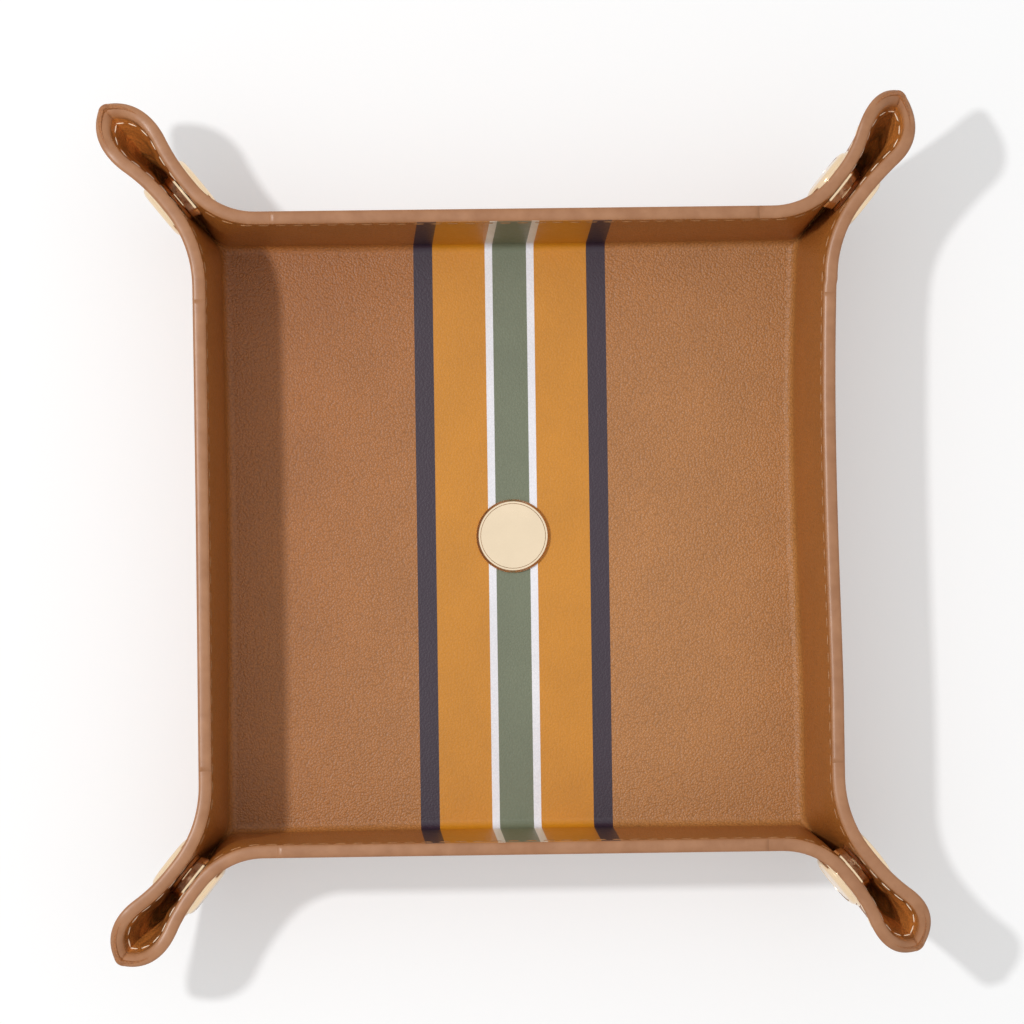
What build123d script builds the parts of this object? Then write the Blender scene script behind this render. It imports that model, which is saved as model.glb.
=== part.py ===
from build123d import *
from collections import namedtuple
from math import atan, cos, hypot, radians, sin, tan
import os

# A square leather valet tray that opens flat. Its four walls are folded up
# from one blank, and the spare leather at each corner is pinched outwards
# into an ear, which a press stud holds closed. Millimetres, +Z up, the floor
# centre of the tray over the origin, and the table at Z = 0.

# Tray
tray_side = 142.0          # across the walls at the rim, outside faces
rim_height = 40.0          # table to the top edge of the walls
leather = 1.4              # each of the two leather layers
striped_lean = 2.7         # how far the striped walls lean out, fold to rim
plain_lean = 3.9           # the same for the two plain walls
fold_radius = 3.4          # outside of the fold between floor and wall
seam_clearance = 0.15      # between the pieces on the two sides of a fold

# Stiffener boards
board = 0.6
board_margin = 7.0         # leather left round a board for the stitches
board_corner = 3.0

# Ears
ear_reach = 34.7           # wall corner to crease, at the rim
ear_round = 15.0           # rounded corner of the blank
neck_gap = 2.6             # between the lining faces at the rim
ear_bulge = 2.2            # how far the loop swells beyond the neck
ear_foot = 1.2             # wall corner to the ear's lowest point
ear_foot_run = 1.474       # wall corner to the pressed foot's widest place
ear_foot_rise = 18.6       # height over which the crease is pressed flat
half_clearance = 0.3       # between the two halves of an ear
hinge_inset = 0.25         # from the lining face in to the bending line
diagonal_angle = 45.0      # from a wall's line to the tray's diagonal, degrees
swing_angle = 6.0          # how far the ears turn from the diagonal, degrees
open_angle = 77.0          # how far a wall lies back, degrees

# Press studs
snap_drop = 10.0           # rim to the stud's axis
snap_out = 7.6             # wall corner to the stud's axis
cap_radius = 7.5
cap_rise = 1.75
cap_lip = 0.75             # width of the raised ring
cap_edge = 0.7             # height of the widest circle
cap_dish = 0.4             # depth of the dish inside the ring
barrel_radius = 1.6
barrel_flare = 0.3
barrel_clearance = 0.1
rivet_head = 0.2
snap_gap = 2.8             # lining face to lining face at the stud
flange_sheet = 0.45        # metal under the rivet head
socket_radius = 5.6
socket_depth = 1.85
socket_bore = 2.75
stud_flange_radius = 5.2
stud_flange = 0.75
stud_radius = 2.4
stud_length = 1.2
stud_chamfer = 0.3

# Medallion
medallion_radius = 8.2
medallion_rise = 1.1
medallion_bevel = 0.5
medallion_step = 0.9       # width of the thin border
medallion_sink = 0.12
post_radius = 1.5
post_clearance = 0.1
washer_radius = 4.5
washer = 0.5

# Ear levels at the floor fold, the stud and the rim: how steeply a half runs in
# to its crease, its share of the bulge, and where its flat neck starts and ends
# as shares of the way from the wall corner to the widest place
nose_angles = (78.0, 48.0, 48.0)
bulge_shares = (0.03, 0.2, 1.0)
neck_start_shares = (0.2825, 0.0845, 0.2739)
neck_end_shares = (0.4708, 0.7164, 0.3368)

half_side = tray_side / 2
sheet = 2 * leather
wall_mid = half_side - leather
snap_height = rim_height - snap_drop
quarter_angle = 2 * diagonal_angle

# A side of the tray: how far its ears turn from it, its lean and its neighbours' lean
Side = namedtuple("Side", "turn_angle lean next_lean")
striped = Side(diagonal_angle + swing_angle, striped_lean, plain_lean)
plain = Side(diagonal_angle - swing_angle, plain_lean, striped_lean)


def level_heights():
    return (fold_radius, snap_height, rim_height)


def drop_share(height):
    """How far below the rim a height is, as a share of the wall above its fold."""
    return (rim_height - height) / (rim_height - fold_radius)


def corner(side, height):
    """Where the middles of a side's wall and of the next wall meet, at a height."""
    drop = drop_share(height)
    return (wall_mid - side.next_lean * drop, wall_mid - side.lean * drop)


def bend_centre(side):
    """From the tray's middle to the centre of the fold at the floor."""
    return half_side - side.lean - fold_radius


def widest_off(index):
    """The ear's middle plane to the middle of its leather, at the widest place."""
    gap = (half_clearance, snap_gap, neck_gap)[index]
    return leather + gap / 2 + bulge_shares[index] * ear_bulge


def loop_size(index):
    """The radius of the loop that runs from the widest place to the crease."""
    return widest_off(index) / (1 - cos(radians(nose_angles[index])))


def crease_out(height):
    """Distance from the wall corner to the crease of the ear at a height."""
    foot = ear_foot_run + loop_size(0) * sin(radians(nose_angles[0]))
    return ear_reach - (ear_reach - foot) * drop_share(height)


class EarLevel:
    """The middle line of one ear half at one height, as tangent arcs.

    Places are (out, off): out along the ear from the wall corner, and off
    sideways from the ear's own middle plane.
    """

    def __init__(self, index, side):
        self.turn = radians(side.turn_angle)
        self.height = level_heights()[index]
        self.corner = corner(side, self.height)
        swell = bulge_shares[index] * ear_bulge
        self.bulge_off = widest_off(index)
        self.neck_off = self.bulge_off - swell
        self.nose = radians(nose_angles[index])
        self.loop_radius = loop_size(index)
        self.bulge_out = crease_out(self.height) - self.loop_radius * sin(self.nose)
        self.neck_start = neck_start_shares[index] * self.bulge_out
        self.neck_end = neck_end_shares[index] * self.bulge_out
        self.root_radius = (self.neck_start + self.neck_off / tan(self.turn)) / tan(self.turn / 2)
        run = self.bulge_out - self.neck_end
        self.flare = 2 * atan(swell / run)
        self.flare_radius = run / sin(self.flare) - self.loop_radius

    def root_point(self, angle, offset):
        """A point of the root arc, angle 0 at the neck, full turn at the wall."""
        radius = self.root_radius - offset
        out = self.neck_start - radius * sin(angle)
        off = self.neck_off + self.root_radius - radius * cos(angle)
        return (out, off)

    def flare_point(self, angle, offset):
        """A point of the flare arc, angle 0 where it leaves the neck."""
        radius = self.flare_radius - offset
        out = self.neck_end + radius * sin(angle)
        off = self.neck_off + self.flare_radius - radius * cos(angle)
        return (out, off)

    def loop_point(self, angle, offset):
        """A point of the loop arc, angle 0 at its widest, positive to the crease."""
        radius = self.loop_radius + offset
        out = self.bulge_out + radius * sin(angle)
        off = self.bulge_off - self.loop_radius + radius * cos(angle)
        return (out, off)

    def tail_point(self, offset):
        """A point past the crease, in line with the loop's end, for the cut there."""
        out, off = self.loop_point(self.nose, offset)
        return (out + sheet * cos(self.nose), off - sheet * sin(self.nose))

    def place(self, point, end):
        """(out, off) to a point of the strip, at its right end (1) or its left (-1)."""
        out, off = point
        x = self.corner[0] + out * cos(self.turn) - off * sin(self.turn)
        y = self.corner[1] + out * sin(self.turn) + off * cos(self.turn)
        return (end * x, y, self.height)

    def end_edges(self, offset, end):
        """The edges from the wall out to the crease, at one offset."""
        wall = self.place(self.root_point(self.turn, offset), end)
        bend = self.place(self.root_point(self.turn / 2, offset), end)
        neck = self.place(self.root_point(0, offset), end)
        neck_end = self.place(self.flare_point(0, offset), end)
        rise = self.place(self.flare_point(self.flare / 2, offset), end)
        join = self.place(self.flare_point(self.flare, offset), end)
        crown = self.place(self.loop_point((self.nose - self.flare) / 2, offset), end)
        tip = self.place(self.loop_point(self.nose, offset), end)
        tail = self.place(self.tail_point(offset), end)
        return [
            ThreePointArc(wall, bend, neck),
            Line(neck, neck_end),
            ThreePointArc(neck_end, rise, join),
            ThreePointArc(join, crown, tip),
            Line(tip, tail),
        ]

    def section(self, inner, outer):
        """One closed face of the strip: ear half, wall, ear half."""
        edges = []
        for offset in (inner, outer):
            wall_right = self.place(self.root_point(self.turn, offset), 1)
            wall_left = self.place(self.root_point(self.turn, offset), -1)
            edges += [Line(wall_left, wall_right)]
            edges += self.end_edges(offset, 1) + self.end_edges(offset, -1)
        for end in (1, -1):
            low = self.place(self.tail_point(inner), end)
            high = self.place(self.tail_point(outer), end)
            edges += [Line(low, high)]
        return make_face(edges)

    def wall_half_length(self):
        return self.place(self.root_point(self.turn, 0), 1)[0]


def strip(side, inner, outer):
    """One side of the blank, folded up: a wall with an ear half at each end."""
    faces = [EarLevel(index, side).section(inner, outer) for index in range(3)]
    return loft(faces, ruled=True)


def hinge_line(side):
    """Two points of the bending line at the strip's right end, low and high."""
    points = []
    for index in (0, 2):
        level = EarLevel(index, side)
        bend = level.root_point(level.turn / 2, -leather - hinge_inset)
        points.append(Vector(*level.place(bend, 1)))
    return points


def hinge_plane(side, end, shift):
    """The plane through the bending line, square to the leather there."""
    low, high = hinge_line(side)
    level = EarLevel(2, side)
    middle = Vector(*level.place(level.root_point(level.turn / 2, leather), 1))
    normal = (high - low).cross(middle - high).normalized()
    if normal.X < 0:
        normal = normal * -1
    origin = low + normal * shift
    if end < 0:
        origin = Vector(-origin.X, origin.Y, origin.Z)
        normal = Vector(-normal.X, normal.Y, normal.Z)
    return Plane(origin=origin, z_dir=normal)


def fold_sector(side, inner, outer, start, end):
    """A sector of the fold's tube between two layers, along X."""
    big = fold_radius - leather + outer
    small = fold_radius - leather + inner
    middle = (start + end) / 2
    half_length = EarLevel(0, side).wall_half_length()

    def at(radius, angle):
        out = radius * cos(radians(angle))
        up = radius * sin(radians(angle))
        return (0, bend_centre(side) + out, fold_radius + up)

    edges = [
        ThreePointArc(at(big, start), at(big, middle), at(big, end)),
        Line(at(big, end), at(small, end)),
        ThreePointArc(at(small, end), at(small, middle), at(small, start)),
        Line(at(small, start), at(big, start)),
    ]
    return extrude(make_face(edges), amount=half_length, dir=(1, 0, 0), both=True)


def board_plate(width, height):
    return extrude(RectangleRounded(width, height, board_corner), amount=board)


def wall_board(side):
    """The stiffener of a wall, let into the hidden side of its leaning lining."""
    half_width = EarLevel(0, side).wall_half_length() - board_corner
    low = fold_radius + seam_clearance
    high = rim_height - board_margin
    middle = (low + high) / 2
    rise = rim_height - fold_radius
    plate = board_plate(2 * half_width, (high - low) * hypot(side.lean, rise) / rise)
    foot = (0, corner(side, middle)[1], middle)
    stand = Plane(origin=foot, x_dir=(-1, 0, 0), z_dir=(0, -rise, side.lean))
    return stand * plate


def ear_outline(side):
    """The side view of an ear, whose outer top corner is rounded."""
    turn = radians(side.turn_angle)

    def from_rim_corner(out, height):
        back = (side.next_lean * cos(turn) + side.lean * sin(turn)) * drop_share(height)
        return (out - back, height)

    left = -ear_reach
    round_start = rim_height - ear_round
    right = from_rim_corner(crease_out(round_start), round_start)[0] + ear_round
    tall = rim_height + ear_round
    foot_top = fold_radius + ear_foot_rise
    nose_reach = leather / sin(radians(nose_angles[1]))
    round_low = (right, round_start)
    round_high = (right - ear_round, rim_height)
    outline = Polyline(
        (left, fold_radius),
        from_rim_corner(ear_foot, fold_radius),
        from_rim_corner(crease_out(foot_top) + nose_reach, foot_top),
        (right, foot_top),
        round_low,
    )
    turn_down = RadiusArc(round_low, round_high, -ear_round)
    back = Polyline(round_high, (left, rim_height), (left, fold_radius))
    face = make_face([outline, turn_down, back])
    return extrude(face, amount=tall, both=True)


def ear_frame(side, end):
    """A frame with X out along the ear, Y up and Z towards its middle plane."""
    turn = radians(side.turn_angle)
    along = Vector(end * cos(turn), sin(turn), 0)
    across = along.cross(Vector(0, 0, 1))
    return Plane(origin=(end * wall_mid, wall_mid, 0), x_dir=along, z_dir=across)


def middle_plane(side, end, height, out, off):
    """A frame beside the ear's middle plane, X out along the ear and Z away from it."""
    turn = radians(side.turn_angle)
    along = Vector(end * cos(turn), sin(turn), 0)
    upward = Vector(end * side.next_lean, side.lean, rim_height - fold_radius)
    away = upward.cross(along).normalized() * end
    x, y = corner(side, height)
    foot = Vector(end * x, y, height) + along * out + away * off
    return Plane(origin=foot, x_dir=along, z_dir=away)


def snap_place(side, end, off):
    """Frame on the stud's axis, Z pointing away from the ear's middle plane."""
    return middle_plane(side, end, snap_height, snap_out, off)


def ear_half(side, end, whole):
    """One layer of one half of an ear, cut from its strip."""
    bend_cut = hinge_plane(side, end, seam_clearance / 2)
    middle_cut = middle_plane(side, end, rim_height, 0, half_clearance / 2)
    piece = split(whole, bisect_by=bend_cut, keep=Keep.TOP)
    piece = split(piece, bisect_by=middle_cut, keep=Keep.TOP)
    piece = piece & (ear_frame(side, end) * ear_outline(side))
    return piece - stud_room(side, end)


def stud_room(side, end):
    """What a press stud takes from the leather: its hole and its two flat seats."""
    grow = (Align.CENTER, Align.CENTER, Align.MIN)
    face = snap_gap / 2
    hole = Cylinder(barrel_radius + barrel_clearance, face + 2 * sheet, align=grow)
    inside = Cylinder(socket_radius + barrel_clearance, face, align=grow)
    outside = Pos(0, 0, face + sheet) * Cylinder(cap_radius + barrel_clearance, cap_rise, align=grow)
    return snap_place(side, end, 0) * (hole + inside + outside)


def wall_layer(side, inner, outer, whole):
    """One layer of a wall, cut from its strip, with its half of the floor fold."""
    piece = whole
    for end in (1, -1):
        cut = hinge_plane(side, end, -seam_clearance / 2)
        piece = split(piece, bisect_by=cut, keep=Keep.BOTTOM)
    return piece + fold_sector(side, inner, outer, -diagonal_angle, 0)


def snap_cap():
    """Cap with its barrel, drawn with the leather's outside face at Z = 0."""
    ring = cap_radius - cap_lip
    through = sheet + flange_sheet
    profile = Polyline(
        (0, 0),
        (cap_radius - cap_lip / 2, 0),
        (cap_radius, cap_edge),
        (ring + cap_lip / 3, cap_rise),
        (ring, cap_rise),
        (ring - cap_lip, cap_rise - cap_dish),
        (0, cap_rise - cap_dish / 2),
        close=True,
    )
    barrel = Polyline(
        (0, cap_edge),
        (barrel_radius, cap_edge),
        (barrel_radius, -through),
        (barrel_radius + barrel_flare, -through),
        (barrel_radius, -through - rivet_head),
        (0, -through - rivet_head),
        close=True,
    )
    return revolve(make_face(Plane.XZ * profile)) + revolve(make_face(Plane.XZ * barrel))


def snap_socket():
    """Socket, drawn with the lining face at Z = 0 and its mouth towards -Z."""
    hole = barrel_radius + barrel_clearance
    profile = Polyline(
        (hole, 0),
        (socket_radius, 0),
        (socket_radius, -flange_sheet),
        (socket_radius - flange_sheet, -socket_depth),
        (socket_bore + stud_chamfer, -socket_depth),
        (socket_bore, -socket_depth + stud_chamfer),
        (socket_bore, -flange_sheet),
        (hole, -flange_sheet),
        close=True,
    )
    return revolve(make_face(Plane.XZ * profile))


def snap_stud():
    """Stud, drawn with the lining face at Z = 0 and its head towards -Z."""
    hole = barrel_radius + barrel_clearance
    head = stud_flange + stud_length
    wall = stud_radius - barrel_radius - barrel_flare - barrel_clearance
    profile = Polyline(
        (hole, 0),
        (stud_flange_radius, 0),
        (stud_flange_radius - flange_sheet, -stud_flange),
        (stud_radius, -stud_flange),
        (stud_radius, -head + stud_chamfer),
        (stud_radius - stud_chamfer, -head),
        (stud_radius - wall, -head),
        (stud_radius - wall, -flange_sheet),
        (hole, -flange_sheet),
        close=True,
    )
    return revolve(make_face(Plane.XZ * profile))


def flat_layer(low, high, inner, outer):
    """One layer of the floor, with its half of the four folds."""
    striped_half = EarLevel(0, striped).wall_half_length()
    plain_half = EarLevel(0, plain).wall_half_length()
    corner_x, corner_y = corner(striped, fold_radius)
    flat = Rectangle(2 * bend_centre(plain), 2 * bend_centre(striped))
    patch_width = 2 * (corner_x - seam_clearance)
    patch_length = 2 * (corner_y - seam_clearance)
    patches = RectangleRounded(patch_width, patch_length, fold_radius)
    patches -= Rectangle(2 * striped_half, tray_side)
    patches -= Rectangle(tray_side, 2 * plain_half)
    layer = Pos(0, 0, low) * extrude(flat + patches, amount=high - low)
    striped_fold = fold_sector(striped, inner, outer, -quarter_angle, -diagonal_angle)
    plain_fold = fold_sector(plain, inner, outer, -quarter_angle, -diagonal_angle)
    for half_turn in (0, 2 * quarter_angle):
        layer += Rot(0, 0, half_turn) * striped_fold
        layer += Rot(0, 0, half_turn + quarter_angle) * plain_fold
    return layer


def medallion():
    """The disc with its thin border, and the post that goes through the lining."""
    inside = medallion_radius - medallion_step
    profile = Polyline(
        (0, sheet),
        (medallion_radius, sheet),
        (medallion_radius, sheet + medallion_rise - medallion_bevel),
        (medallion_radius - medallion_bevel, sheet + medallion_rise),
        (inside, sheet + medallion_rise),
        (inside - medallion_sink, sheet + medallion_rise - medallion_sink),
        (0, sheet + medallion_rise - medallion_sink),
        close=True,
    )
    disc = revolve(make_face(Plane.XZ * profile))
    grow = (Align.CENTER, Align.CENTER, Align.MIN)
    post = Pos(0, 0, leather) * Cylinder(post_radius, leather + medallion_bevel, align=grow)
    return disc + post


def floor_pieces():
    grow = (Align.CENTER, Align.CENTER, Align.MIN)
    above_outer = Pos(0, 0, leather)
    board_width = 2 * (bend_centre(plain) - board_margin)
    board_length = 2 * (bend_centre(striped) - board_margin)
    plate = above_outer * board_plate(board_width, board_length)
    washer_hole = above_outer * Cylinder(washer_radius + post_clearance, board, align=grow)
    post_hole = above_outer * Cylinder(post_radius + post_clearance, leather, align=grow)
    ring = above_outer * Cylinder(washer_radius, washer, align=grow)
    lining = flat_layer(leather, sheet, -leather, 0) - plate - post_hole
    return {
        "floor_outer": flat_layer(0, leather, 0, leather),
        "floor_lining": lining,
        "floor_board": plate - washer_hole,
        "medallion": medallion(),
        "medallion_washer": ring - post_hole,
    }


def side_pieces(side):
    """The pieces of one side of the tray, drawn as the side towards +Y."""
    pieces = {}
    plate = wall_board(side)
    layers = {"lining": (-leather, 0), "outer": (0, leather)}
    for layer, (inner, outer) in layers.items():
        whole = strip(side, inner, outer)
        pieces["wall", layer] = wall_layer(side, inner, outer, whole)
        for end in (1, -1):
            pieces[end, layer] = ear_half(side, end, whole)
    pieces["wall", "lining"] -= plate
    pieces["wall", "board"] = plate
    face = snap_gap / 2
    for end in (1, -1):
        pieces[end, "cap"] = snap_place(side, end, face + sheet) * snap_cap()
        pieces[end, "socket"] = snap_place(side, end, face) * snap_socket()
        pieces[end, "stud"] = snap_place(side, end, face) * snap_stud()
    return pieces


# Each piece of the floor, then of the four sides turned to their places
os.makedirs("parts", exist_ok=True)

for name, shape in floor_pieces().items():
    export_step(shape, f"parts/{name}.step")

sides = {
    "north": (striped, 0, "ne", "nw", "socket"),
    "south": (striped, 180, "sw", "se", "socket"),
    "east": (plain, -90, "se", "ne", "stud"),
    "west": (plain, 90, "nw", "sw", "stud"),
}
drawn = {side: side_pieces(side) for side in (striped, plain)}

for side_name, (side, heading, right_ear, left_ear, fastener) in sides.items():
    spin = Rot(0, 0, heading)
    for layer in ("lining", "board", "outer"):
        export_step(spin * drawn[side]["wall", layer], f"parts/{side_name}_wall_{layer}.step")
    for end, ear in ((1, right_ear), (-1, left_ear)):
        for item in ("lining", "outer", "cap", fastener):
            export_step(spin * drawn[side][end, item], f"parts/{ear}_ear_{side_name}_{item}.step")
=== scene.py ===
from collections import namedtuple
from math import acos, atan, copysign, cos, pi, radians, sin, tan

import bpy
from mathutils import Matrix, Vector


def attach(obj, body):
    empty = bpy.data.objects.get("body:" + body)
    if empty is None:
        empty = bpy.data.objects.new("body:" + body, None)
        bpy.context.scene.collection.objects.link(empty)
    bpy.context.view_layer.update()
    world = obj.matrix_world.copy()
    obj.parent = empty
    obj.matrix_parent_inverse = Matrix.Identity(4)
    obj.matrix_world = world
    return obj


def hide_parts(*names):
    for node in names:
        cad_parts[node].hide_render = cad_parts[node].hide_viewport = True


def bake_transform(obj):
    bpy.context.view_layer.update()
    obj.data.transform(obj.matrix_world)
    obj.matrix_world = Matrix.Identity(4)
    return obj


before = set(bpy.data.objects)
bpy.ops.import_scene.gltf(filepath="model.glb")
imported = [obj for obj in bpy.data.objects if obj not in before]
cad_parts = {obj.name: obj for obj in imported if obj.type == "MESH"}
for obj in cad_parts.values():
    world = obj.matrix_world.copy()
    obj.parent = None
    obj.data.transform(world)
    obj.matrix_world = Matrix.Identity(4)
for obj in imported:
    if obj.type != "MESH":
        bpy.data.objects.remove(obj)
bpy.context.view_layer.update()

# The camera hangs two metres over the tray, a little to the left of its middle
# and nearer to the viewer, so that a long lens sees just inside all four walls.
camera_data = bpy.data.cameras.new("camera")
camera_data.lens = 320.6
camera_data.sensor_width = 36.0
camera_data.clip_end = 50.0
camera = bpy.data.objects.new("camera", camera_data)
bpy.context.scene.collection.objects.link(camera)
camera.location = (-0.0717, -0.0573, 2.040)
camera.rotation_euler = (radians(1.789), radians(-1.987), radians(-0.800))
bpy.context.scene.camera = camera


# The tray stands on a white table under one soft lamp on the left, in a room lit
# from its ceiling. The lens sees the room white, and the table's shadows lifted.
table_white = (0.955, 0.960, 0.962, 1.0)
table_size = 12.0
table_lift = 0.34
lamp_place = (-0.58, 0.156, 1.14)
lamp_power = 30.0
lamp_radius = 0.035
ceiling_light = 1.03
wall_light = 0.20
ceiling_falloff = 1.8


def node_tools(tree):
    """One function that adds a node to the tree, and one that links two sockets."""

    def add(kind, **settings):
        node = tree.nodes.new("ShaderNode" + kind)
        for key, value in settings.items():
            if hasattr(node, key):
                setattr(node, key, value)
            else:
                node.inputs[key.replace("_", " ").title()].default_value = value
        return node

    return add, tree.links.new


def new_material(name):
    """A material, its shader, and the functions that add and link its nodes."""
    material = bpy.data.materials.new(name)
    material.use_nodes = True
    add, link = node_tools(material.node_tree)
    return material, material.node_tree.nodes["Principled BSDF"], add, link


def looked_at(add, link):
    """1 for rays from the lens, straight or by way of metal or glass, 0 for light."""
    ray = add("LightPath")
    mirrored = add("Math", operation="MAXIMUM")
    link(ray.outputs["Is Glossy Ray"], mirrored.inputs[0])
    link(ray.outputs["Is Transmission Ray"], mirrored.inputs[1])
    seen = add("Math", operation="MAXIMUM")
    link(ray.outputs["Is Camera Ray"], seen.inputs[0])
    link(mirrored.outputs[0], seen.inputs[1])
    return seen.outputs[0]


bpy.ops.object.select_all(action="DESELECT")
bpy.ops.mesh.primitive_grid_add(x_subdivisions=8, y_subdivisions=8, size=table_size)
table = bpy.context.object
table.name = "table_top"
table_paint, shader, add, link = new_material("table_paint")
shader.inputs["Base Color"].default_value = table_white
shader.inputs["Roughness"].default_value = 0.9
shader.inputs["Specular IOR Level"].default_value = 0.1
grain = add("TexNoise", scale=180.0, detail=2.0)
bump = add("Bump", strength=0.05, distance=0.0002)
link(add("TexCoord").outputs["Object"], grain.inputs["Vector"])
link(grain.outputs["Fac"], bump.inputs["Height"])
link(bump.outputs["Normal"], shader.inputs["Normal"])
lift = add("Math", operation="MULTIPLY")
lift.inputs[1].default_value = table_lift
lifted = add("MixShader")
link(looked_at(add, link), lift.inputs[0])
link(lift.outputs[0], lifted.inputs[0])
link(shader.outputs[0], lifted.inputs[1])
link(add("Emission").outputs[0], lifted.inputs[2])
link(lifted.outputs[0], table_paint.node_tree.nodes["Material Output"].inputs["Surface"])
table.data.materials.append(table_paint)

lamp_data = bpy.data.lights.new("studio_lamp", "POINT")
lamp_data.energy = lamp_power
lamp_data.shadow_soft_size = lamp_radius
lamp = bpy.data.objects.new("studio_lamp", lamp_data)
bpy.context.scene.collection.objects.link(lamp)
lamp.location = lamp_place

room = bpy.data.worlds.new("white_room")
bpy.context.scene.world = room
room.use_nodes = True
background = room.node_tree.nodes["Background"]
background.inputs["Color"].default_value = (1.0, 1.0, 1.0, 1.0)
add, link = node_tools(room.node_tree)
upward = add("SeparateXYZ")
steep = add("Math", operation="POWER")
steep.inputs[1].default_value = ceiling_falloff
brightness = add("MapRange", to_min=wall_light, to_max=ceiling_light)
seen = add("Mix")
seen.inputs["B"].default_value = 1.0
link(add("TexCoord").outputs["Generated"], upward.inputs[0])
link(upward.outputs["Z"], steep.inputs[0])
link(steep.outputs[0], brightness.inputs["Value"])
link(looked_at(add, link), seen.inputs["Factor"])
link(brightness.outputs["Result"], seen.inputs["A"])
link(seen.outputs["Result"], background.inputs["Strength"])
bpy.context.scene.view_settings.view_transform = "Standard"


# The lining is pebbled calfskin with a pressed grain. Its stripes are painted on
# the blank before it is folded, so they run straight up the north and south walls.
mm = 0.001
tan_colour = (0.435, 0.158, 0.033)
outer_colour = (0.385, 0.145, 0.045)
green_colour = (0.158, 0.178, 0.112)
white_colour = (0.825, 0.820, 0.860)
mustard_colour = (0.590, 0.230, 0.007)
dark_colour = (0.028, 0.013, 0.027)
# half the width of each stripe; the widest is painted first, and the next over it
green_edge = 3.80
white_edge = 5.47
mustard_edge = 17.20
dark_edge = 21.45
stripes = (
    (dark_edge, dark_colour), (mustard_edge, mustard_colour),
    (white_edge, white_colour), (green_edge, green_colour),
)
stripe_blur = 0.05
paint_blur = 0.1
grain_under_paint = 0.30
# painted sheen and shade: the floor darker to one side and paler to the other, the walls tinted as
# they look in shade
sheen_heading = (0.8, -0.4, 0.0)
sheen_start, sheen_end = -75.0, 55.0
shaded_tan = (0.88, 0.83, 0.76)
sheen_tan = (1.06, 1.22, 1.48)
floor_to_wall_start, floor_to_wall_end = 3.0, 9.0
wall_shade_tint = (1.02, 0.98, 0.78)
# the ears begin this far out, as x and y together; they are tinted a little, and their lengthwise
# crumples carry painted shade and highlight
ear_start, ear_full = 142.0, 158.0
ear_tint = (1.02, 1.00, 1.10)
crumple_draw = (0.35, 0.35, 1.0)
crumple_low, crumple_high = 0.38, 0.62
crease_painted_shade, crease_painted_highlight = 0.60, 1.35
# the grain of both leathers
tone_low, tone_high = 0.3, 0.7
tone_dark, tone_pale = 0.93, 1.06
pore_near, pore_far = 0.1, 0.8
pebble_pale, pore_dark = 1.08, 0.76
smoother, duller = 0.08, 0.10
swirl_size = 0.6
fine_strength, fine_depth = 0.55, 0.22
coarse_strength, coarse_depth = 0.30, 0.30


def mixed(add, link, share, under, over, blend_type="MIX"):
    """A colour laid over another; each is a plain colour or comes from a node."""
    mix = add("Mix", data_type="RGBA", blend_type=blend_type)
    # the node has sockets for each kind of value, and these are the colours
    under_socket, over_socket, result = mix.inputs[6], mix.inputs[7], mix.outputs[2]
    link(share, mix.inputs["Factor"])
    for colour, socket in ((under, under_socket), (over, over_socket)):
        if isinstance(colour, tuple):
            socket.default_value = (*colour, 1.0)
        else:
            link(colour, socket)
    return result


def ramp(add, link, value, start, end, first=0.0, last=1.0, kind="SMOOTHSTEP"):
    """The first number where the value is at the start, the last where it is at the end."""
    scale = add("MapRange", interpolation_type=kind, from_min=start, from_max=end)
    scale.inputs["To Min"].default_value = first
    scale.inputs["To Max"].default_value = last
    link(value, scale.inputs["Value"])
    return scale.outputs["Result"]


def product(add, link, first, second):
    """One number times the other."""
    times = add("Math", operation="MULTIPLY")
    link(first, times.inputs[0])
    link(second, times.inputs[1])
    return times.outputs[0]


def partly(add, link, share, value):
    """1 where the share is 0, and the value where the share is 1."""
    mix = add("Mix")
    mix.inputs["A"].default_value = 1.0
    link(share, mix.inputs["Factor"])
    link(value, mix.inputs["B"])
    return mix.outputs[0]


def in_the_ears(add, link, place):
    """0 on the floor and the walls, and 1 in the ears."""
    folded = add("VectorMath", operation="ABSOLUTE")
    outward = add("VectorMath", operation="DOT_PRODUCT")
    outward.inputs[1].default_value = (1.0, 1.0, 0.0)
    link(place, folded.inputs[0])
    link(folded.outputs[0], outward.inputs[0])
    return ramp(add, link, outward.outputs["Value"], ear_start * mm, ear_full * mm)


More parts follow.
